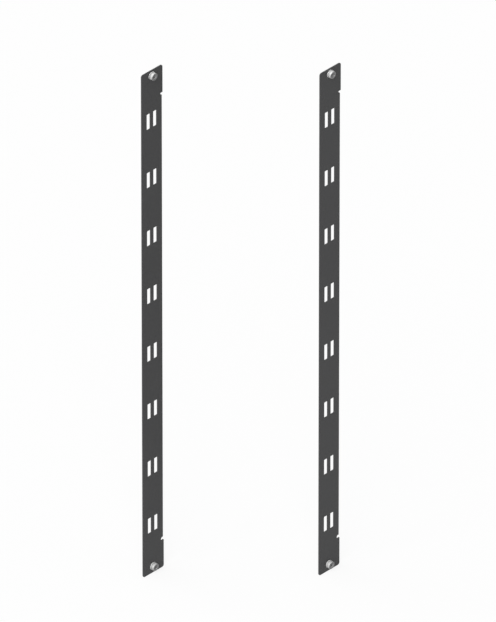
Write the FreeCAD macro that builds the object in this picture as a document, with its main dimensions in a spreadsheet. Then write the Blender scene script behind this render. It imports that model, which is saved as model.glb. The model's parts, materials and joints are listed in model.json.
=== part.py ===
"""A pair of cable lashing brackets for a server rack.

Each bracket is a strip of sheet steel with eight pairs of slots for straps. Its right edge is bent
back into a stiffening flange that stops short of both ends, where a relief notch lets the flat end
tabs run on. A low cap screw with a plain washer holds each tab to the rack.

Millimetres. Z is up, X runs across the strip towards its flange and the front faces -Y. The origin
is the middle of the left bracket's two screws, on the rear face that lies against the rack.
"""

import FreeCAD, Part
import Sketcher
import math
import os

dimensions = {
    "rack_unit_height": 44.45,
    "screw_span_units": 17,  # distance between the two screws of a bracket
    "slot_pitch_units": 2,  # distance between two pairs of slots
    "slot_pairs": 8,
    "sheet_thickness": 1.5,
    "inside_width": 35.3,  # from the plain edge to the inner face of the flange
    "end_margin": 8.8,  # mean distance from a screw's axis to the end of the strip
    "screw_rise": 1.3,  # how far the screws sit above the middle of the strip
    "corner_radius": 3.0,  # corners of the end tabs
    "slot_width": 6.2,
    "slot_length": 24.0,
    "slot_corner": 0.8,
    "bar_width": 5.2,  # bar between the two slots of a pair
    "flange_depth": 10.3,  # from the front face to the rear edge of the flange
    "bend_radius": 1.0,  # inside radius of the bend
    "tab_length": 41.8,  # from the end of the strip to the relief notch
    "relief_height": 5.0,
    "relief_depth": 5.0,
    "thread_diameter": 6.0,
    "hole_clearance": 0.6,  # added to the thread for the hole in the strip
    "neck_diameter": 5.3,  # plain shank between the head and the thread
    "washer_clearance": 0.3,  # added to the neck for the bore of the washer, which the thread traps
    "washer_diameter": 11.0,
    "washer_thickness": 1.6,
    "washer_chamfer": 0.3,
    "head_diameter": 10.0,
    "head_height": 4.0,
    "head_edge": 0.5,  # round between the face and the side of the head
    "screw_length": 8.0,  # under the head
    "tip_chamfer": 0.7,
    "socket_width": 5.0,  # across the flats of the hexagon socket
    "socket_depth": 2.2,
    "drill_point": 1.4,  # cone that the drill leaves below the socket
    "pair_shift_right": 160.5,  # from the left bracket to the right one
    "pair_shift_forward": 154.5,
}

document = FreeCAD.newDocument("CableLashingBracket")
sheet = document.addObject("Spreadsheet::Sheet", "Sizes")
for row, (alias, number) in enumerate(dimensions.items(), start=1):
    sheet.set(f"A{row}", alias)
    sheet.set(f"B{row}", str(number))
    sheet.setAlias(f"B{row}", alias)
document.recompute()

# Lengths that several pieces share, worked out from the sheet.
screw_span = "(Sizes.screw_span_units * Sizes.rack_unit_height)"
slot_pitch = "(Sizes.slot_pitch_units * Sizes.rack_unit_height)"
strip_height = f"({screw_span} + 2 * Sizes.end_margin)"
flange_length = f"({strip_height} - 2 * (Sizes.tab_length + Sizes.relief_height))"
left_edge = "(-Sizes.inside_width / 2)"
right_edge = "(Sizes.inside_width / 2 + Sizes.sheet_thickness)"
outer_bend = "(Sizes.bend_radius + Sizes.sheet_thickness)"
front_face = "(-Sizes.sheet_thickness)"
neck_length = "(Sizes.washer_thickness + Sizes.sheet_thickness)"

# Where each bracket stands, and which end of it a screw is at.
sides = {
    "left": ("0", "0"),
    "right": ("Sizes.pair_shift_right", "-Sizes.pair_shift_forward"),
}
ends = {"top": "0.5", "bottom": "-0.5"}

# Numbers by which a sketch knows its origin, its axes and the points of an edge.
root_point = (-1, 1)
horizontal_axis, vertical_axis = range(-1, -3, -1)
start, end, middle = range(1, 4)

same_length = 1e-6
quarter = math.pi / 2
upright = FreeCAD.Vector(0, 0, 1)


def value(expression):
    return float(sheet.evalExpression(expression))


def point(x, y):
    return FreeCAD.Vector(x, y, 0)


def new_body(label, x="0", y="0", z="0"):
    body = document.addObject("PartDesign::Body", label)
    body.Label = label
    for axis, expression in zip("xyz", (x, y, z)):
        body.setExpression(f"Placement.Base.{axis}", expression)
    return body


def new_sketch(body, name, plane, offset=None):
    sketch = body.newObject("Sketcher::SketchObject", name)
    support = next(item for item in body.Origin.OriginFeatures if item.Role == plane)
    sketch.AttachmentSupport = [(support, "")]
    sketch.MapMode = "FlatFace"
    if offset:
        sketch.setExpression("AttachmentOffset.Base.z", offset)
    return sketch


def constrain(sketch, kind, *places):
    sketch.addConstraint(Sketcher.Constraint(kind, *places))


def measure(sketch, name, kind, *places, length):
    index = sketch.addConstraint(Sketcher.Constraint(kind, *places, value(length)))
    sketch.renameConstraint(index, name)
    sketch.setExpression(f"Constraints.{name}", length)


def draw_rectangle(sketch, name, left, bottom, width, height):
    """A plain rectangle, its lower left corner measured from the sketch's origin."""
    x0, y0 = value(left), value(bottom)
    x1, y1 = x0 + value(width), y0 + value(height)
    corners = [point(x0, y0), point(x1, y0), point(x1, y1), point(x0, y1)]
    lines = [Part.LineSegment(corners[i], corners[(i + 1) % 4]) for i in range(4)]
    base, right, top, plain = sketch.addGeometry(lines, False)
    for first, second in ((base, right), (right, top), (top, plain), (plain, base)):
        constrain(sketch, "Coincident", first, end, second, start)
    for line in (base, top):
        constrain(sketch, "Horizontal", line)
    for line in (right, plain):
        constrain(sketch, "Vertical", line)
    measure(sketch, f"{name}_left", "DistanceX", *root_point, base, start, length=left)
    measure(sketch, f"{name}_bottom", "DistanceY", *root_point, base, start, length=bottom)
    measure(sketch, f"{name}_width", "DistanceX", base, start, base, end, length=width)
    measure(sketch, f"{name}_height", "DistanceY", right, start, right, end, length=height)


def draw_rounded_rectangle(sketch, name, left, bottom, width, height, radius):
    """A rectangle with four equal round corners, placed by its lower left corner."""
    x0, y0, r = value(left), value(bottom), value(radius)
    x1, y1 = x0 + value(width), y0 + value(height)
    corners = [(x1 - r, y0 + r), (x1 - r, y1 - r), (x0 + r, y1 - r), (x0 + r, y0 + r)]
    lines = [
        Part.LineSegment(point(x0 + r, y0), point(x1 - r, y0)),
        Part.LineSegment(point(x1, y0 + r), point(x1, y1 - r)),
        Part.LineSegment(point(x1 - r, y1), point(x0 + r, y1)),
        Part.LineSegment(point(x0, y1 - r), point(x0, y0 + r)),
    ]
    arcs = []
    for turns, (x, y) in enumerate(corners, start=-1):
        circle = Part.Circle(point(x, y), upright, r)
        arcs.append(Part.ArcOfCircle(circle, turns * quarter, (turns + 1) * quarter))
    line_ids = sketch.addGeometry(lines, False)
    arc_ids = sketch.addGeometry(arcs, False)
    for i in range(4):
        constrain(sketch, "Tangent", line_ids[i], end, arc_ids[i], start)
        constrain(sketch, "Tangent", arc_ids[i], end, line_ids[(i + 1) % 4], start)
    base, right, top, plain = line_ids
    for line in (base, top):
        constrain(sketch, "Horizontal", line)
    for line in (right, plain):
        constrain(sketch, "Vertical", line)
    for arc in arc_ids[1:]:
        constrain(sketch, "Equal", arc_ids[0], arc)
    measure(sketch, f"{name}_radius", "Radius", arc_ids[0], length=radius)
    measure(sketch, f"{name}_left", "DistanceX", *root_point, plain, start, length=left)
    measure(sketch, f"{name}_bottom", "DistanceY", *root_point, base, start, length=bottom)
    measure(sketch, f"{name}_width", "DistanceX", plain, start, right, end, length=width)
    measure(sketch, f"{name}_height", "DistanceY", base, start, top, end, length=height)


def draw_relief(sketch, name, edge, bottom, depth, height):
    """A notch from the right edge inwards, its inner end a half round of the notch's height."""
    x1, y0 = value(edge), value(bottom)
    y1, r = y0 + value(height), value(height) / 2
    x0 = x1 - value(depth) + r
    circle = Part.Circle(point(x0, y0 + r), upright, r)
    floor_line, mouth, roof, inner = sketch.addGeometry(
        [
            Part.LineSegment(point(x0, y0), point(x1, y0)),
            Part.LineSegment(point(x1, y0), point(x1, y1)),
            Part.LineSegment(point(x1, y1), point(x0, y1)),
            Part.ArcOfCircle(circle, quarter, 3 * quarter),
        ],
        False,
    )
    constrain(sketch, "Coincident", floor_line, end, mouth, start)
    constrain(sketch, "Coincident", mouth, end, roof, start)
    constrain(sketch, "Tangent", roof, end, inner, start)
    constrain(sketch, "Tangent", inner, end, floor_line, start)
    constrain(sketch, "Horizontal", floor_line)
    constrain(sketch, "Vertical", mouth)
    constrain(sketch, "Horizontal", roof)
    measure(sketch, f"{name}_edge", "DistanceX", *root_point, mouth, start, length=edge)
    measure(sketch, f"{name}_bottom", "DistanceY", *root_point, mouth, start, length=bottom)
    measure(sketch, f"{name}_height", "DistanceY", mouth, start, mouth, end, length=height)
    straight = f"{depth} - {height} / 2"
    measure(sketch, f"{name}_depth", "DistanceX", floor_line, start, floor_line, end, length=straight)


def draw_bend_and_flange(sketch):
    """The section of the bend and of the flange behind it, seen from above."""
    thickness = value("Sizes.sheet_thickness")
    inner, outer = value("Sizes.bend_radius"), value(outer_bend)
    x1 = value(right_edge)
    x0, rear = x1 - outer, value("Sizes.flange_depth") - thickness
    centre = point(x0, outer - thickness)
    root, outer_arc, outer_wall, rim, inner_wall, inner_arc = sketch.addGeometry(
        [
            Part.LineSegment(point(x0, 0), point(x0, -thickness)),
            Part.ArcOfCircle(Part.Circle(centre, upright, outer), -quarter, 0),
            Part.LineSegment(point(x1, centre.y), point(x1, rear)),
            Part.LineSegment(point(x1, rear), point(x1 - thickness, rear)),
            Part.LineSegment(point(x1 - thickness, rear), point(x1 - thickness, centre.y)),
            Part.ArcOfCircle(Part.Circle(centre, upright, inner), -quarter, 0),
        ],
        False,
    )
    constrain(sketch, "Coincident", root, end, outer_arc, start)
    constrain(sketch, "Tangent", outer_arc, end, outer_wall, start)
    constrain(sketch, "Coincident", outer_wall, end, rim, start)
    constrain(sketch, "Coincident", rim, end, inner_wall, start)
    constrain(sketch, "Tangent", inner_wall, end, inner_arc, end)
    constrain(sketch, "Coincident", inner_arc, start, root, start)
    constrain(sketch, "Coincident", outer_arc, middle, inner_arc, middle)
    constrain(sketch, "Vertical", outer_arc, middle, outer_arc, start)
    for line in (root, outer_wall, inner_wall):
        constrain(sketch, "Vertical", line)
    constrain(sketch, "Horizontal", rim)
    measure(sketch, "outer_edge", "DistanceX", *root_point, outer_wall, start, length=right_edge)
    measure(sketch, "front", "DistanceY", *root_point, root, end, length=front_face)
    measure(sketch, "thickness", "DistanceY", root, end, root, start, length="Sizes.sheet_thickness")
    measure(sketch, "inside_radius", "Radius", inner_arc, length="Sizes.bend_radius")
    measure(sketch, "depth", "DistanceY", root, end, rim, start, length="Sizes.flange_depth")


def draw_screw_section(sketch):
    """Half of the screw's section: X is the radius, and the seat of the head lies on the X axis.

    The neck passes the washer and the strip, so the thread starts at the strip's rear face.
    """
    head, neck = value("Sizes.head_diameter") / 2, value("Sizes.neck_diameter") / 2
    thread, neck_end = value("Sizes.thread_diameter") / 2, value(neck_length)
    length, chamfer = value("Sizes.screw_length"), value("Sizes.tip_chamfer")
    top, edge = -value("Sizes.head_height"), value("Sizes.head_edge")
    edge_circle = Part.Circle(point(head - edge, top + edge), upright, edge)
    outline = [
        point(head, top + edge),
        point(head, 0),
        point(neck, 0),
        point(neck, neck_end),
        point(thread, neck_end),
        point(thread, length - chamfer),
        point(thread - chamfer, length),
        point(0, length),
        point(0, top),
        point(head - edge, top),
    ]
    lines = [Part.LineSegment(first, second) for first, second in zip(outline, outline[1:])]
    line_ids = sketch.addGeometry(lines, False)
    side, seat, neck_wall, shoulder, thread_wall, slope, tip, axis, face = line_ids
    edge_arc = sketch.addGeometry(Part.ArcOfCircle(edge_circle, -quarter, 0), False)
    for first, second in zip(line_ids, line_ids[1:]):
        constrain(sketch, "Coincident", first, end, second, start)
    constrain(sketch, "Tangent", face, end, edge_arc, start)
    constrain(sketch, "Tangent", edge_arc, end, side, start)
    for line in (side, neck_wall, thread_wall, axis):
        constrain(sketch, "Vertical", line)
    for line in (seat, shoulder, tip, face):
        constrain(sketch, "Horizontal", line)
    constrain(sketch, "PointOnObject", axis, start, vertical_axis)
    constrain(sketch, "PointOnObject", seat, start, horizontal_axis)
    radii = {
        "head": (seat, start),
        "neck": (seat, end),
        "thread": (shoulder, end),
    }
    for name, place in radii.items():
        half = f"Sizes.{name}_diameter / 2"
        measure(sketch, f"{name}_radius", "DistanceX", *root_point, *place, length=half)
    measure(sketch, "neck_length", "DistanceY", *root_point, shoulder, start, length=neck_length)
    measure(sketch, "length", "DistanceY", *root_point, tip, end, length="Sizes.screw_length")
    measure(sketch, "tip_radius", "DistanceX", slope, end, slope, start, length="Sizes.tip_chamfer")
    measure(sketch, "tip_height", "DistanceY", slope, start, slope, end, length="Sizes.tip_chamfer")
    measure(sketch, "head_height", "DistanceY", axis, end, *root_point, length="Sizes.head_height")
    measure(sketch, "head_edge", "Radius", edge_arc, length="Sizes.head_edge")


def draw_hexagon(sketch, width):
    """A regular hexagon about the sketch's origin, this wide across its flats, with two flats upright."""
    sides_of_hexagon = range(6)
    radius = f"{width} / sqrt(3)"
    reach = value(radius)
    angles = [quarter + i * math.pi / 3 for i in sides_of_hexagon]
    corners = [point(reach * math.cos(a), reach * math.sin(a)) for a in angles]
    lines = [Part.LineSegment(corners[i - 1], corners[i]) for i in sides_of_hexagon]
    line_ids = sketch.addGeometry(lines, False)
    circle = sketch.addGeometry(Part.Circle(point(0, 0), upright, reach), True)
    constrain(sketch, "Coincident", circle, middle, *root_point)
    for i in sides_of_hexagon:
        constrain(sketch, "Coincident", line_ids[i - 1], end, line_ids[i], start)
        constrain(sketch, "PointOnObject", line_ids[i], start, circle)
    for line in line_ids[1:]:
        constrain(sketch, "Equal", line_ids[0], line)
    constrain(sketch, "PointOnObject", line_ids[0], end, vertical_axis)
    measure(sketch, "corner_radius", "Radius", circle, length=radius)


def draw_drill_point(sketch):
    """Half of the cone below the socket: X is the radius, and the seat of the head lies on the X axis."""
    radius, bottom = "Sizes.socket_width / 2", "Sizes.socket_depth - Sizes.head_height"
    reach, y0 = value(radius), value(bottom)
    y1 = y0 + value("Sizes.drill_point")
    corners = [point(0, y0), point(reach, y0), point(0, y1)]
    lines = [Part.LineSegment(corners[i], corners[(i + 1) % 3]) for i in range(3)]
    rim, slope, axis = sketch.addGeometry(lines, False)
    for first, second in ((rim, slope), (slope, axis), (axis, rim)):
        constrain(sketch, "Coincident", first, end, second, start)
    constrain(sketch, "Horizontal", rim)
    constrain(sketch, "Vertical", axis)
    constrain(sketch, "PointOnObject", rim, start, vertical_axis)
    measure(sketch, "bottom", "DistanceY", *root_point, rim, start, length=bottom)
    measure(sketch, "radius", "DistanceX", rim, start, rim, end, length=radius)
    measure(sketch, "depth", "DistanceY", axis, end, axis, start, length="Sizes.drill_point")


def pad(body, name, sketch, length, symmetric=False):
    feature = body.newObject("PartDesign::Pad", name)
    feature.Profile = sketch
    feature.SideType = "Symmetric" if symmetric else "One side"
    feature.setExpression("Length", length)
    return feature


def pocket_through(body, name, sketch):
    feature = body.newObject("PartDesign::Pocket", name)
    feature.Profile = sketch
    feature.Type = "ThroughAll"
    feature.Reversed = True
    return feature


def chamfer_rim(body, name, base, rim_radius, size):
    """Chamfers the foremost of a piece's circular edges of this radius."""
    document.recompute()
    rims = [
        (edge.Curve.Center.y, f"Edge{number}")
        for number, edge in enumerate(base.Shape.Edges, start=1)
        if isinstance(edge.Curve, Part.Circle)
        and abs(edge.Curve.Radius - value(rim_radius)) < same_length
    ]
    feature = body.newObject("PartDesign::Chamfer", name)
    feature.Base = (base, [min(rims)[1]])
    feature.setExpression("Size", size)
    return feature


def make_strip(side):
    x, y = sides[side]
    body = new_body(f"{side}_strip", x, y, "-Sizes.screw_rise")

    blank = new_sketch(body, f"{side}_blank_outline", "XZ_Plane")
    width = f"{right_edge} - {left_edge}"
    bottom = f"-{strip_height} / 2"
    draw_rounded_rectangle(blank, "blank", left_edge, bottom, width, strip_height, "Sizes.corner_radius")
    pad(body, f"{side}_blank", blank, "Sizes.sheet_thickness")

    # Between the reliefs the flat of the strip ends where the bend begins.
    trim = new_sketch(body, f"{side}_bend_line", "XZ_Plane")
    bend_line = f"{right_edge} - {outer_bend}"
    draw_rectangle(trim, "trim", bend_line, f"-{flange_length} / 2", outer_bend, flange_length)
    pocket_through(body, f"{side}_bend_trim", trim)

    relief = new_sketch(body, f"{side}_relief_outline", "XZ_Plane")
    relief_size = ("Sizes.relief_depth", "Sizes.relief_height")
    draw_relief(relief, "upper", right_edge, f"{flange_length} / 2", *relief_size)
    lower = f"-{flange_length} / 2 - Sizes.relief_height"
    draw_relief(relief, "lower", right_edge, lower, *relief_size)
    pocket_through(body, f"{side}_reliefs", relief)

    section = new_sketch(body, f"{side}_flange_section", "XY_Plane")
    draw_bend_and_flange(section)
    pad(body, f"{side}_flange", section, flange_length, symmetric=True)

    holes = new_sketch(body, f"{side}_screw_hole_centres", "XZ_Plane")
    hole_radius = "(Sizes.thread_diameter + Sizes.hole_clearance) / 2"
    for place, share in ends.items():
        height = f"{share} * {screw_span} + Sizes.screw_rise"
        circle = Part.Circle(point(0, value(height)), upright, value(hole_radius))
        hole = holes.addGeometry(circle, False)
        constrain(holes, "PointOnObject", hole, middle, vertical_axis)
        measure(holes, f"{place}_height", "DistanceY", *root_point, hole, middle, length=height)
        measure(holes, f"{place}_radius", "Radius", hole, length=hole_radius)
    pocket_through(body, f"{side}_screw_holes", holes)

    slots = new_sketch(body, f"{side}_slot_outline", "XZ_Plane")
    lowest = f"-(Sizes.slot_pairs - 1) / 2 * {slot_pitch} - Sizes.slot_length / 2"
    slot_size = ("Sizes.slot_width", "Sizes.slot_length", "Sizes.slot_corner")
    draw_rounded_rectangle(slots, "near", "-Sizes.bar_width / 2 - Sizes.slot_width", lowest, *slot_size)
    draw_rounded_rectangle(slots, "far", "Sizes.bar_width / 2", lowest, *slot_size)
    slot_pair = pocket_through(body, f"{side}_slot_pair", slots)

    pattern = body.newObject("PartDesign::LinearPattern", f"{side}_slot_pairs")
    pattern.Originals = [slot_pair]
    pattern.Direction = (slots, ["V_Axis"])
    pattern.Mode = "Spacing"
    pattern.setExpression("Offset", slot_pitch)
    pattern.setExpression("Occurrences", "Sizes.slot_pairs")
    body.Tip = pattern
    return body


def make_washer(side, place):
    x, y = sides[side]
    height = f"{ends[place]} * {screw_span}"
    body = new_body(f"{side}_{place}_washer", x, f"{y} + {front_face}", height)
    ring = new_sketch(body, f"{side}_{place}_washer_ring", "XZ_Plane")
    radii = {
        "rim": "Sizes.washer_diameter / 2",
        "bore": "(Sizes.neck_diameter + Sizes.washer_clearance) / 2",
    }
    for name, radius in radii.items():
        circle = Part.Circle(point(0, 0), upright, value(radius))
        edge = ring.addGeometry(circle, False)
        constrain(ring, "Coincident", edge, middle, *root_point)
        measure(ring, name, "Radius", edge, length=radius)
    blank = pad(body, f"{side}_{place}_washer_blank", ring, "Sizes.washer_thickness")

    # The face that the screw bears on has a chamfered rim.
    chamfer_rim(body, f"{side}_{place}_washer_edge", blank, radii["rim"], "Sizes.washer_chamfer")
    return body


def make_screw(side, place):
    x, y = sides[side]
    name = f"{side}_{place}_screw"
    seat = f"{y} + {front_face} - Sizes.washer_thickness"
    body = new_body(name, x, seat, f"{ends[place]} * {screw_span}")
    section = new_sketch(body, f"{name}_section", "XY_Plane")
    draw_screw_section(section)
    blank = body.newObject("PartDesign::Revolution", f"{name}_blank")
    blank.Profile = section
    blank.ReferenceAxis = (section, ["V_Axis"])
    blank.Angle = 360

    # The hexagon socket, and below it the point of the drilled hole that it was broached from.
    hexagon = new_sketch(body, f"{name}_hexagon", "XZ_Plane", offset="Sizes.head_height")
    draw_hexagon(hexagon, "Sizes.socket_width")
    socket = body.newObject("PartDesign::Pocket", f"{name}_socket")
    socket.Profile = hexagon
    socket.setExpression("Length", "Sizes.socket_depth")
    cone = new_sketch(body, f"{name}_cone", "XY_Plane")
    draw_drill_point(cone)
    drilled = body.newObject("PartDesign::Groove", f"{name}_drill_point")
    drilled.Profile = cone
    drilled.ReferenceAxis = (cone, ["V_Axis"])
    drilled.Angle = 360
    return body


def check_model(bodies):
    for item in document.Objects:
        if "Invalid" in item.State or "Error" in item.State:
            raise RuntimeError(f"{item.Label} did not compute: {item.State}")
        if item.isDerivedFrom("PartDesign::Pocket") or item.isDerivedFrom("PartDesign::Groove"):
            if item.Shape.Volume >= item.BaseFeature.Shape.Volume:
                raise RuntimeError(f"{item.Label} cuts nothing")
    for body in bodies:
        shape = body.Shape
        if shape.isNull() or not shape.isValid() or len(shape.Solids) != 1:
            raise RuntimeError(f"{body.Label} is not one sound solid")


pieces = []
for side in sides:
    pieces.append(make_strip(side))
    for place in ends:
        pieces.append(make_washer(side, place))
        pieces.append(make_screw(side, place))
document.recompute()
check_model(pieces)

os.makedirs("parts", exist_ok=True)
for piece in pieces:
    piece.Shape.exportStep(f"parts/{piece.Label}.step")
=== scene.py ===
import json
import math

import bmesh
import bpy
from mathutils import Matrix, Vector


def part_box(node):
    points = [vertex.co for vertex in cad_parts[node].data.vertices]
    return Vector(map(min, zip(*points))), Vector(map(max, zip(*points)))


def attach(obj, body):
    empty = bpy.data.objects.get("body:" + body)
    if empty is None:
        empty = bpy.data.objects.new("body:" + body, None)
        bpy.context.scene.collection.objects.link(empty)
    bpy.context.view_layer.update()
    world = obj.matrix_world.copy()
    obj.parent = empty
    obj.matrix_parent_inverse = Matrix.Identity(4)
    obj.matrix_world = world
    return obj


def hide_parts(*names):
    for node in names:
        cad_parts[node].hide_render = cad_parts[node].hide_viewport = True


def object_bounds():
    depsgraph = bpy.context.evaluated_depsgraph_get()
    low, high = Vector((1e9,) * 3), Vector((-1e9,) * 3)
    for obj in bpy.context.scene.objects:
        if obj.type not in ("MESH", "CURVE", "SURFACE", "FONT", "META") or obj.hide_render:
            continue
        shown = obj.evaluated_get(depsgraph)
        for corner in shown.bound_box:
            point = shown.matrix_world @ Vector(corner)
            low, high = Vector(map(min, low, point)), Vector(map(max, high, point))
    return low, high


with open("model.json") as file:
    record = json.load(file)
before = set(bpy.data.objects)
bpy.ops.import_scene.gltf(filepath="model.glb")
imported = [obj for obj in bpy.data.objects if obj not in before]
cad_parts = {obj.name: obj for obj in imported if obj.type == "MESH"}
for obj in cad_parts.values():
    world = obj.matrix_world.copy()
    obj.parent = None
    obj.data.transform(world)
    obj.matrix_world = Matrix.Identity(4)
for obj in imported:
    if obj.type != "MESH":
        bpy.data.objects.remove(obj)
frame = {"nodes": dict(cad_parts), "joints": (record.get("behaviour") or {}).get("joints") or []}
cadLow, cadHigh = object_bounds()
print("frame loaded, nodes:", len(frame["nodes"]))

mm = 0.001  # in metres
sameSpotMm = 1e-4  # points nearer than this are one
sides = ("left", "right")
ends = ("top", "bottom")
hingeJoints = [joint for joint in frame["joints"] if joint["type"] == "hinge"]
hinges = {joint["child"]: Vector(joint["pos_m"]) for joint in hingeJoints}


# shader helpers

def newMaterial(name):
    material = bpy.data.materials.new(name)
    material.use_nodes = True
    shader = material.node_tree.nodes["Principled BSDF"]
    return material, material.node_tree, shader


def addNode(tree, kind, settings=None, **inputs):
    node = tree.nodes.new(kind)
    for name, value in (settings or {}).items():
        setattr(node, name, value)
    for name, value in inputs.items():
        node.inputs[name.replace("_", " ")].default_value = value
    return node


def noiseAt(tree, featureMm, detail=2.0):
    coords = addNode(tree, "ShaderNodeTexCoord")
    noise = addNode(tree, "ShaderNodeTexNoise", Scale=1.0 / (featureMm * mm), Detail=detail)
    tree.links.new(coords.outputs["Object"], noise.inputs["Vector"])
    return noise.outputs["Fac"]


def remap(tree, source, lowOut, highOut, lowIn=0.3, highIn=0.7):
    limits = dict(From_Min=lowIn, From_Max=highIn, To_Min=lowOut, To_Max=highOut)
    ramp = addNode(tree, "ShaderNodeMapRange", **limits)
    tree.links.new(source, ramp.inputs["Value"])
    return ramp.outputs["Result"]


def blendColors(tree, factor, first, second):
    mix = addNode(tree, "ShaderNodeMix", {"data_type": "RGBA"})
    tree.links.new(factor, mix.inputs["Factor"])
    for place, color in (("A", first), ("B", second)):
        socket = next(s for s in mix.inputs if s.name == place and s.type == "RGBA")
        if isinstance(color, tuple):
            socket.default_value = (*color, 1.0)
        else:
            tree.links.new(color, socket)
    return next(s for s in mix.outputs if s.type == "RGBA")


def addBump(tree, layers, shader):
    # a layer is (height, (depth in millimetres, strength)), the coarsest first
    normal = None
    for height, (depthMm, strength) in layers:
        bump = addNode(tree, "ShaderNodeBump", Strength=strength, Distance=depthMm * mm)
        tree.links.new(height, bump.inputs["Height"])
        if normal:
            tree.links.new(normal, bump.inputs["Normal"])
        normal = bump.outputs["Normal"]
    tree.links.new(normal, shader.inputs["Normal"])


# finishes

powderCoat = dict(
    color=(0.060, 0.060, 0.061),
    cloudColor=(0.066, 0.066, 0.067),  # faint cloudiness of the sprayed coat
    pitColor=(0.038, 0.038, 0.039),  # between the grains
    wornColor=(0.085, 0.085, 0.086),  # rubbed edges
    wearLayer="rubbed",  # the strips' own layer of how rubbed each spot is
    wearMm=7.0,  # length of a rubbed stretch
    wearShare=(0.2, 1.0),  # from the least rubbed stretch to the most
    cloudMm=60.0,
    peelMm=1.3,  # orange peel
    peelBump=(0.1, 0.7),  # depth in millimetres, strength
    grainMm=0.22,
    grainBump=(0.03, 0.8),
    roughness=(0.50, 0.60),
    specular=0.2,
)


def makePowderCoat():
    material, tree, shader = newMaterial("charcoalPowderCoat")
    cloud = remap(tree, noiseAt(tree, powderCoat["cloudMm"], detail=3.0), 0.0, 1.0)
    base = blendColors(tree, cloud, powderCoat["color"], powderCoat["cloudColor"])
    grain = noiseAt(tree, powderCoat["grainMm"], detail=1.0)
    base = blendColors(tree, remap(tree, grain, 0.0, 1.0), powderCoat["pitColor"], base)
    rubbed = addNode(tree, "ShaderNodeAttribute", {"attribute_name": powderCoat["wearLayer"]})
    stretches = remap(tree, noiseAt(tree, powderCoat["wearMm"]), *powderCoat["wearShare"])
    wear = addNode(tree, "ShaderNodeMath", {"operation": "MULTIPLY"})
    tree.links.new(rubbed.outputs["Fac"], wear.inputs[0])
    tree.links.new(stretches, wear.inputs[1])
    base = blendColors(tree, wear.outputs["Value"], base, powderCoat["wornColor"])
    tree.links.new(base, shader.inputs["Base Color"])
    tree.links.new(remap(tree, grain, *powderCoat["roughness"]), shader.inputs["Roughness"])
    shader.inputs["Specular IOR Level"].default_value = powderCoat["specular"]
    peel = noiseAt(tree, powderCoat["peelMm"], detail=0.0)
    addBump(tree, [(peel, powderCoat["peelBump"]), (grain, powderCoat["grainBump"])], shader)
    return material


zincPlate = dict(
    color=(0.56, 0.56, 0.555),
    brightColor=(0.64, 0.64, 0.635),
    paintedFrontShadeColor=(0.17, 0.17, 0.173),  # painted shade: fronts of the head and washer, darker than the lit sides
    paintedFrontShadeTilt=(-0.68, -0.35),  # how squarely a spot faces the front to count as that painted-shade face
    paintedHollowShadeColor=(0.22, 0.22, 0.22),  # painted shade in the socket and between the threads
    paintedHollowShadeReachMm=2.5,
    paintedHollowShadeOpenness=(0.5, 1.0),  # from full painted shade to none
    paintedHollowShadeSamples=8,
    spangleMm=0.9,
    scuffMm=0.18,
    scuffBump=(0.006, 0.3),  # depth in millimetres, strength
    roughness=(0.42, 0.54),
    metallic=0.3,  # the passivated zinc is cloudy, so part of its shine is diffuse
)


def makeZincPlate():
    material, tree, shader = newMaterial("brightZincPlate")
    spangle = remap(tree, noiseAt(tree, zincPlate["spangleMm"]), 0.0, 1.0)
    base = blendColors(tree, spangle, zincPlate["color"], zincPlate["brightColor"])
    coords = addNode(tree, "ShaderNodeTexCoord")
    axes = addNode(tree, "ShaderNodeSeparateXYZ")
    tree.links.new(coords.outputs["Normal"], axes.inputs["Vector"])
    # painted shade: spots facing the front of the head and washer take a darker colour, standing in for
    # their shade
    paintedFrontShade = remap(tree, axes.outputs["Y"], 1.0, 0.0, *zincPlate["paintedFrontShadeTilt"])
    base = blendColors(tree, paintedFrontShade, base, zincPlate["paintedFrontShadeColor"])
    # painted shade: ambient occlusion darkens the socket and the thread roots, where shade falls
    settings = {"only_local": True, "samples": zincPlate["paintedHollowShadeSamples"]}
    reach = zincPlate["paintedHollowShadeReachMm"] * mm
    hollow = addNode(tree, "ShaderNodeAmbientOcclusion", settings, Distance=reach)
    paintedHollowShade = remap(tree, hollow.outputs["AO"], 1.0, 0.0, *zincPlate["paintedHollowShadeOpenness"])
    base = blendColors(tree, paintedHollowShade, base, zincPlate["paintedHollowShadeColor"])
    tree.links.new(base, shader.inputs["Base Color"])
    scuff = noiseAt(tree, zincPlate["scuffMm"], detail=3.0)
    tree.links.new(remap(tree, scuff, *zincPlate["roughness"]), shader.inputs["Roughness"])
    shader.inputs["Metallic"].default_value = zincPlate["metallic"]
    addBump(tree, [(scuff, zincPlate["scuffBump"])], shader)
    return material


powderCoatMaterial = makePowderCoat()
zincMaterial = makeZincPlate()
print("finishes made")


# mesh helpers, in millimetres

def roundedLoop(corners, steps):
    # corners are (x, z, radius); each becomes an arc of that radius
    points = []
    for i, (x, z, radius) in enumerate(corners):
        corner = Vector((x, z))
        back = (Vector(corners[i - 1][:2]) - corner).normalized()
        ahead = (Vector(corners[(i + 1) % len(corners)][:2]) - corner).normalized()
        reach = radius / math.tan(back.angle(ahead) / 2)
        centre = corner + (back + ahead).normalized() * math.hypot(reach, radius)
        first, last = corner + back * reach - centre, corner + ahead * reach - centre
        turn = first.angle_signed(last)
        for k in range(steps + 1):
            spot = centre + Matrix.Rotation(-turn * k / steps, 2) @ first
            if not points or (spot - points[-1]).length > sameSpotMm:
                points.append(spot)
    return points


def circleLoop(x, z, radius, steps):
    angles = [-2 * math.pi * k / steps for k in range(steps)]
    return [Vector((x + radius * math.cos(a), z + radius * math.sin(a))) for a in angles]


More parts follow.
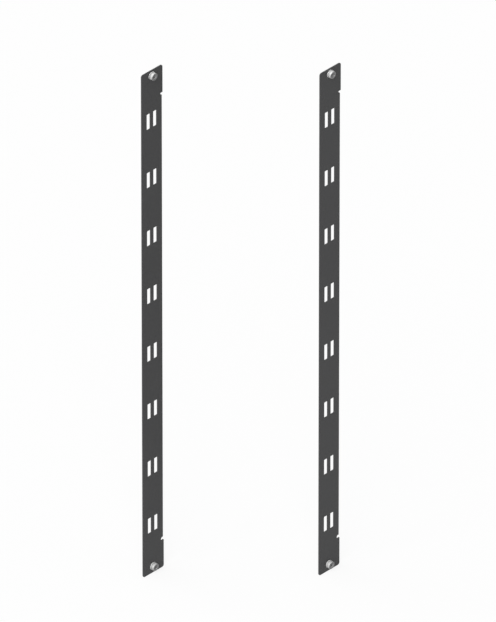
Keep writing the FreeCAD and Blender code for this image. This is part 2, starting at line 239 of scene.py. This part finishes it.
def inwardSteps(points, leastCosine=0.3):
    # for each point of a loop, the step to its left, where the sheet lies, that insets it by one;
    # leastCosine caps the step at a sharp corner
    steps = []
    for i, point in enumerate(points):
        before = (point - points[i - 1]).normalized()
        after = (points[(i + 1) % len(points)] - point).normalized()
        normal = Vector((-before.y - after.y, before.x + after.x)).normalized()
        steps.append(normal / max(leastCosine, normal.dot(Vector((-before.y, before.x)))))
    return steps


def bridgeRows(bm, rows):
    for first, second in zip(rows, rows[1:]):
        for i in range(len(first)):
            bm.faces.new((first[i - 1], first[i], second[i], second[i - 1]))


def finishMesh(bm, name, sharpDegrees=40):
    bmesh.ops.recalc_face_normals(bm, faces=bm.faces)
    for vert in bm.verts:
        vert.co *= mm
    mesh = bpy.data.meshes.new(name)
    bm.to_mesh(mesh)
    bm.free()
    mesh.shade_smooth()
    mesh.set_sharp_from_angle(angle=math.radians(sharpDegrees))
    return mesh


def placePiece(name, mesh, material, body, node, place):
    piece = bpy.data.objects.new(name, mesh)
    bpy.context.scene.collection.objects.link(piece)
    mesh.materials.clear()
    mesh.materials.append(material)
    piece.location = place
    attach(piece, body)
    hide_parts(node)


# slotted strip, cut as a flat blank and folded

strip = dict(
    thickness=1.5,
    bendInside=1.0,
    cornerRadius=3.0,
    slotWidth=6.2,
    slotLength=24.0,
    slotCorner=0.8,
    barWidth=5.2,
    slotPitch=88.9,
    slotPairs=8,
    tabLength=41.8,
    reliefHeight=5.0,
    reliefDepth=5.0,
    holeDiameter=6.6,
    brokenCorner=0.5,  # corners of the reliefs and of the flange
    rimRound=0.12,  # coat drawn thin over the cut edges
    rimSteps=3,
    arcSteps=6,
    holeSteps=48,
    bendSteps=10,
)


def stripMiddle(side):
    # on the screws' line, halfway up the strip, at its rear face
    low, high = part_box(f"{side}_strip")
    screw = hinges[f"{side}_top_screw"]
    return Vector((screw.x, screw.y, (low.z + high.z) / 2))


def stripFolder(right, depth, flangeHalf):
    # gives where a spot of the flat blank lies once the flange is bent back, and how far it has turned
    outer = strip["bendInside"] + strip["thickness"]
    bendStart = right - outer
    bendLength = (strip["bendInside"] + strip["thickness"] / 2) * math.pi / 2

    def fold(spot):
        u, inward, z = spot
        front = -strip["thickness"]
        along = u - bendStart
        if along <= 0 or abs(z) > flangeHalf + strip["reliefHeight"] / 2:
            return Vector((u, front + inward, z)), 0.0
        angle = min(along / bendLength, 1.0) * math.pi / 2
        radius = outer - inward
        straight = max(0.0, along - bendLength)
        x = bendStart + radius * math.sin(angle)
        y = front + outer - radius * math.cos(angle) + straight
        return Vector((x, y, z)), angle

    flangeEdge = bendStart + bendLength + depth - outer
    bendLines = [bendStart + bendLength * k / strip["bendSteps"] for k in range(strip["bendSteps"] + 1)]
    return fold, flangeEdge, bendLines


def stripLoops(left, right, top, flangeHalf, flangeEdge, holeHeights):
    corner, broken = strip["cornerRadius"], strip["brokenCorner"]
    reliefEnd = right - strip["reliefDepth"]
    reliefTop = flangeHalf + strip["reliefHeight"]
    reliefRound = strip["reliefHeight"] / 2
    upper = [
        (flangeEdge, flangeHalf, broken),
        (reliefEnd, flangeHalf, reliefRound),
        (reliefEnd, reliefTop, reliefRound),
        (right, reliefTop, broken),
        (right, top, corner),
        (left, top, corner),
    ]
    lower = [(x, -z, radius) for x, z, radius in reversed(upper)]
    loops = [roundedLoop(lower + upper, strip["arcSteps"])]
    for k in range(strip["slotPairs"]):
        middle = (k - (strip["slotPairs"] - 1) / 2) * strip["slotPitch"]
        low, high = middle - strip["slotLength"] / 2, middle + strip["slotLength"] / 2
        for hand in (-1, 1):
            near = hand * strip["barWidth"] / 2
            far = near + hand * strip["slotWidth"]
            a, b = min(near, far), max(near, far)
            box = [(a, low), (a, high), (b, high), (b, low)]
            loops.append(roundedLoop([(*spot, strip["slotCorner"]) for spot in box], strip["arcSteps"]))
    for height in holeHeights:
        loops.append(circleLoop(0.0, height, strip["holeDiameter"] / 2, strip["holeSteps"]))
    return loops


def makeStripMesh(side):
    low, high = ((corner - stripMiddle(side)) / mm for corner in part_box(f"{side}_strip"))
    flangeHalf = high.z - strip["tabLength"] - strip["reliefHeight"]
    fold, flangeEdge, bendLines = stripFolder(high.x, high.y - low.y, flangeHalf)
    holeHeights = [(hinges[f"{side}_{end}_screw"] - stripMiddle(side)).z / mm for end in ends]
    loops = stripLoops(low.x, high.x, high.z, flangeHalf, flangeEdge, holeHeights)

    # each cut edge, from the front face round to the rear face, as (inset, depth, angle)
    rimRound, thickness = strip["rimRound"], strip["thickness"]
    rim = []
    for rear in (0, 1):
        for k in range(strip["rimSteps"] + 1):
            angle = (rear + k / strip["rimSteps"]) * math.pi / 2
            inward = rimRound * (1 - math.cos(angle)) + rear * (thickness - 2 * rimRound)
            rim.append((rimRound * (1 - math.sin(angle)), inward, angle))
    bm = bmesh.new()
    outward = bm.verts.layers.float_vector.new("outward")
    rubbed = bm.verts.layers.float.new(powderCoat["wearLayer"])
    skins = ([], [])
    for loop in loops:
        steps = inwardSteps(loop)
        rows = []
        for inset, inward, angle in rim:
            row = []
            for spot, step in zip(loop, steps):
                place = spot + step * inset
                edgeways = -step.normalized() * math.sin(angle)
                vert = bm.verts.new((place.x, inward, place.y))
                vert[outward] = (edgeways.x, -math.cos(angle), edgeways.y)
                vert[rubbed] = abs(math.sin(2 * angle))  # most where the edge turns
                row.append(vert)
            rows.append(row)
        bridgeRows(bm, rows)
        for skin, row in zip(skins, (rows[0], rows[-1])):
            skin += [bm.edges.get((row[i - 1], row[i])) for i in range(len(row))]
    for skin, facing in zip(skins, (-1, 1)):
        bmesh.ops.triangle_fill(bm, use_beauty=True, edges=skin, normal=(0, facing, 0))
    for line in bendLines:
        everything = bm.verts[:] + bm.edges[:] + bm.faces[:]
        cut = dict(dist=sameSpotMm, plane_co=(line, 0, 0), plane_no=(1, 0, 0))
        bmesh.ops.bisect_plane(bm, geom=everything, **cut)
    normals = []
    for vert in bm.verts:
        flatNormal = Vector(vert[outward]).normalized()
        vert.co, angle = fold(vert.co)
        normals.append(Matrix.Rotation(angle, 3, "Z") @ flatNormal)
    mesh = finishMesh(bm, f"{side}_slotted_strip", sharpDegrees=180)
    mesh.normals_split_custom_set_from_vertices(normals)
    return mesh


for side in sides:
    name, node = f"{side}_slotted_strip", f"{side}_strip"
    mesh = makeStripMesh(side)
    placePiece(name, mesh, powderCoatMaterial, "strips", node, stripMiddle(side))
    print(name, len(mesh.polygons), "faces")


# turned pieces, about an axis along Y; the head's seat is at 0 and the tip points to +Y

def turnRows(bm, rows, steps, start=0.0):
    # a row is (radius or radius function, height); rows of no radius close the ends
    rings, previous = [], None
    for radius, height in rows:
        if radius == 0:
            ring = [bm.verts.new((0, height, 0))]
        else:
            ring = []
            for k in range(steps):
                angle = start + 2 * math.pi * k / steps
                reach = radius(angle, height) if callable(radius) else radius
                ring.append(bm.verts.new((reach * math.sin(angle), height, reach * math.cos(angle))))
        if previous and len(previous) == 1:
            for i in range(steps):
                bm.faces.new((previous[0], ring[i - 1], ring[i]))
        elif previous and len(ring) == 1:
            for i in range(steps):
                bm.faces.new((previous[i - 1], previous[i], ring[0]))
        elif previous:
            bridgeRows(bm, [previous, ring])
        rings.append(ring)
        previous = ring
    return rings


def arcRows(centreRadius, centreHeight, radius, start, finish, steps):
    # angles from the axis-facing-front direction towards the outside
    rows = []
    for k in range(steps + 1):
        a = math.radians(start + (finish - start) * k / steps)
        rows.append((centreRadius + radius * math.sin(a), centreHeight - radius * math.cos(a)))
    return rows


screwForm = dict(
    headDiameter=10.0,
    headHeight=4.0,
    headEdge=0.5,
    seatEdge=0.25,
    neckDiameter=5.3,
    neckLength=3.1,
    neckRound=0.2,
    threadDiameter=6.0,
    threadPitch=1.0,
    threadDepth=0.6,
    crestShare=0.125,  # of the pitch
    flankShare=0.625,  # both flanks together
    length=8.0,
    tipChamfer=0.7,
    socketWidth=5.0,  # across the flats
    socketDepth=2.2,
    socketMouth=0.15,  # how far the countersink reaches past the hexagon's corners
    drillDiameter=4.9,
    drillPoint=1.4,
    turnSteps=96,
    edgeSteps=6,
    seatSteps=4,
    drillSteps=48,
    stepsPerPitch=12,
    sharpDegrees=32.0,
)


def threadRadius(angle, height):
    # flat crest, sloping flanks, flat root; runs out at the neck and into the tip's chamfer
    form = screwForm
    outer = form["threadDiameter"] / 2
    phase = (height / form["threadPitch"] - angle / (2 * math.pi)) % 1.0
    fall = min(1.0, max(0.0, (abs(phase - 0.5) * 2 - form["crestShare"]) / form["flankShare"]))
    runOut = min(1.0, max(0.0, (height - form["neckLength"]) / form["threadPitch"]))
    chamfer = outer - max(0.0, height - (form["length"] - form["tipChamfer"]))
    return min(outer - form["threadDepth"] * fall * runOut, chamfer)


def socketCorner():
    # from the axis to a corner of the hexagon
    return screwForm["socketWidth"] / math.sqrt(3)


def makeSocketCutters():
    # the hexagon, with a corner at the top, and the drilled hole it was punched over
    form = screwForm
    above, bottom = -2 * form["headHeight"], form["socketDepth"] - form["headHeight"]
    drill, drillSteps = form["drillDiameter"] / 2, form["drillSteps"]
    cutters = []
    for name, radius, point, steps, start in (
        ("hexagon_cutter", socketCorner(), 0.0, 6, 0.0),
        ("drill_cutter", drill, form["drillPoint"], drillSteps, math.pi / drillSteps),
    ):
        bm = bmesh.new()
        turnRows(bm, [(0, above), (radius, above), (radius, bottom), (0, bottom + point)], steps, start)
        cutters.append(bpy.data.objects.new(name, finishMesh(bm, name)))
    return cutters


def makeScrewMesh():
    form = screwForm
    head, edge, front = form["headDiameter"] / 2, form["headEdge"], -form["headHeight"]
    neck, neckRound, seat = form["neckDiameter"] / 2, form["neckRound"], form["seatEdge"]

    # the countersink runs in under the hexagon's flats, which are cut afterwards
    mouth = socketCorner() + form["socketMouth"]
    inner = form["drillDiameter"] / 2
    rows = [(0, front + mouth - inner), (inner, front + mouth - inner), (mouth, front)]
    rows += arcRows(head - edge, front + edge, edge, 0, 90, form["edgeSteps"])
    rows += arcRows(head - seat, -seat, seat, 90, 180, form["seatSteps"])
    rows += [(neck + neckRound, 0.0), (neck, neckRound), (neck, form["neckLength"])]
    threadLength = form["length"] - form["neckLength"]
    threadSteps = round(threadLength / form["threadPitch"] * form["stepsPerPitch"])
    for k in range(threadSteps + 1):
        rows.append((threadRadius, form["neckLength"] + threadLength * k / threadSteps))
    rows.append((0, form["length"]))
    bm = bmesh.new()
    turnRows(bm, rows, form["turnSteps"], start=math.pi / form["turnSteps"])

    # the socket is cut out of the turned blank
    blank = bpy.data.objects.new("screw_blank", finishMesh(bm, "screw_blank"))
    cutters = makeSocketCutters()
    for helper in (blank, *cutters):
        bpy.context.scene.collection.objects.link(helper)
    for cutter in cutters:
        cut = blank.modifiers.new(cutter.name, "BOOLEAN")
        cut.object = cutter
        cut.operation = "DIFFERENCE"
        cut.solver = "EXACT"
    state = bpy.context.evaluated_depsgraph_get()
    result = bpy.data.meshes.new_from_object(blank.evaluated_get(state))
    for helper in (blank, *cutters):
        bpy.data.objects.remove(helper)
    result.shade_smooth()
    result.set_sharp_from_angle(angle=math.radians(form["sharpDegrees"]))
    return result


washerForm = dict(
    diameter=11.0,
    bore=5.6,
    thickness=1.6,
    rollover=0.35,
    burr=0.12,
    rollSteps=5,
    turnSteps=64,
)


def makeWasherMesh():
    # punched ring: rolled over at the front, a trace of burr at the back
    form = washerForm
    rim, bore, roll, burr = form["diameter"] / 2, form["bore"] / 2, form["rollover"], form["burr"]
    front = -form["thickness"]
    rows = arcRows(rim - roll, front + roll, roll, 0, 90, form["rollSteps"])
    rows += [(rim, -burr), (rim - burr, 0.0), (bore + burr, 0.0), (bore, -burr)]
    rows += arcRows(bore + roll, front + roll, roll, -90, 0, form["rollSteps"])
    bm = bmesh.new()
    rings = turnRows(bm, rows, form["turnSteps"])
    bridgeRows(bm, [rings[-1], rings[0]])
    return finishMesh(bm, "plain_washer")


screwMesh = makeScrewMesh()
washerMesh = makeWasherMesh()
for side in sides:
    for end in ends:
        screwNode, washerNode = f"{side}_{end}_screw", f"{side}_{end}_washer"
        axis = hinges[screwNode]
        washerBack = Vector((axis.x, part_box(washerNode)[1].y, axis.z))
        screwSeat = Vector((axis.x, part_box(washerNode)[0].y, axis.z))
        for name, mesh, node, place in (
            (f"{side}_{end}_cap_screw", screwMesh, screwNode, screwSeat),
            (f"{side}_{end}_plain_washer", washerMesh, washerNode, washerBack),
        ):
            placePiece(name, mesh.copy(), zincMaterial, node, node, place)
print("screws and washers placed")


# white studio

studio = dict(
    white=(1.0, 1.0, 1.0, 1.0),
    floorSize=12.0,
    floorColor=(0.74, 0.74, 0.74, 1.0),
    floorRoughness=0.9,
    shadowShare=0.15,  # how much of the floor's look comes from its own shading
    ambient=0.4,
    keyStrength=3.2,
    keyFrom=(-0.68, -0.25, 0.69),
    rimStrength=0.7,
    rimFrom=(-0.39, 0.58, 0.72),
    softDegrees=55.0,
)


def whiteForCamera(tree):
    # 1 for rays that show the background: seen directly, mirrored or through glass
    path = addNode(tree, "ShaderNodeLightPath")
    total = path.outputs["Is Camera Ray"]
    for name in ("Is Glossy Ray", "Is Transmission Ray"):
        either = addNode(tree, "ShaderNodeMath", {"operation": "MAXIMUM"})
        tree.links.new(total, either.inputs[0])
        tree.links.new(path.outputs[name], either.inputs[1])
        total = either.outputs["Value"]
    return total


def makeFloor():
    half = studio["floorSize"] / 2
    middle = (cadLow + cadHigh) / 2
    bm = bmesh.new()
    corners = [(-half, -half), (half, -half), (half, half), (-half, half)]
    bm.faces.new([bm.verts.new((middle.x + x, middle.y + y, cadLow.z)) for x, y in corners])
    mesh = bpy.data.meshes.new("floor")
    bm.to_mesh(mesh)
    bm.free()
    floor = bpy.data.objects.new("floor", mesh)
    bpy.context.scene.collection.objects.link(floor)
    material, tree, shader = newMaterial("whiteFloor")
    shader.inputs["Base Color"].default_value = studio["floorColor"]
    shader.inputs["Roughness"].default_value = studio["floorRoughness"]
    shader.inputs["Specular IOR Level"].default_value = 0.0
    glow = addNode(tree, "ShaderNodeEmission", Strength=1.0)
    share = addNode(tree, "ShaderNodeMath", {"operation": "MULTIPLY"})
    share.inputs[1].default_value = 1.0 - studio["shadowShare"]
    tree.links.new(whiteForCamera(tree), share.inputs[0])
    mix = addNode(tree, "ShaderNodeMixShader")
    tree.links.new(share.outputs["Value"], mix.inputs["Fac"])
    tree.links.new(shader.outputs["BSDF"], mix.inputs[1])
    tree.links.new(glow.outputs["Emission"], mix.inputs[2])
    tree.links.new(mix.outputs["Shader"], tree.nodes["Material Output"].inputs["Surface"])
    mesh.materials.append(material)


def makeWorld():
    world = bpy.data.worlds.new("studio")
    world.use_nodes = True
    bpy.context.scene.world = world
    tree = world.node_tree
    ambient = tree.nodes["Background"]
    ambient.inputs["Color"].default_value = studio["white"]
    ambient.inputs["Strength"].default_value = studio["ambient"]
    white = addNode(tree, "ShaderNodeBackground", Color=studio["white"], Strength=1.0)
    mix = addNode(tree, "ShaderNodeMixShader")
    tree.links.new(whiteForCamera(tree), mix.inputs["Fac"])
    tree.links.new(ambient.outputs["Background"], mix.inputs[1])
    tree.links.new(white.outputs["Background"], mix.inputs[2])
    tree.links.new(mix.outputs["Shader"], tree.nodes["World Output"].inputs["Surface"])


def addSun(name, comesFrom, strength):
    lamp = bpy.data.lights.new(name, "SUN")
    lamp.energy = strength
    lamp.angle = math.radians(studio["softDegrees"])
    sun = bpy.data.objects.new(name, lamp)
    bpy.context.scene.collection.objects.link(sun)
    sun.rotation_mode = "QUATERNION"
    sun.rotation_quaternion = Vector(comesFrom).to_track_quat("Z", "Y")


makeFloor()
makeWorld()
addSun("keySun", studio["keyFrom"], studio["keyStrength"])
addSun("rimSun", studio["rimFrom"], studio["rimStrength"])
print("studio ready")


# camera: long lens from the upper left, as in a catalogue's isometric view

view = dict(
    azimuth=-45.0,
    elevation=35.264,
    lens=1300.0,
    sensor=36.0,
    clipShare=(0.5, 1.5),  # of the camera's distance
    photoSize=(496, 622),
    pixelsPerMetre=794.9,
    stripPixel=(152.4, 323.3),  # middle of the left strip's front face
)


def makeCamera():
    turn, rise = math.radians(view["azimuth"]), math.radians(view["elevation"])
    back = Vector((math.sin(turn) * math.cos(rise), -math.cos(turn) * math.cos(rise), math.sin(rise)))
    right = Vector((math.cos(turn), math.sin(turn), 0.0))
    up = back.cross(right)
    width, height = view["photoSize"]
    target = stripMiddle("left")
    target.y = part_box("left_strip")[0].y
    target += right * (width / 2 - view["stripPixel"][0]) / view["pixelsPerMetre"]
    target += up * (view["stripPixel"][1] - height / 2) / view["pixelsPerMetre"]
    distance = height / view["pixelsPerMetre"] * view["lens"] / view["sensor"]
    lensData = bpy.data.cameras.new("camera")
    lensData.lens = view["lens"]
    lensData.sensor_width = view["sensor"]
    lensData.clip_start, lensData.clip_end = (distance * share for share in view["clipShare"])
    camera = bpy.data.objects.new("camera", lensData)
    bpy.context.scene.collection.objects.link(camera)
    camera.location = target + back * distance
    camera.rotation_mode = "QUATERNION"
    camera.rotation_quaternion = back.to_track_quat("Z", "Y")
    bpy.context.scene.camera = camera


makeCamera()
bpy.context.scene.view_settings.view_transform = "Standard"
print("camera placed")
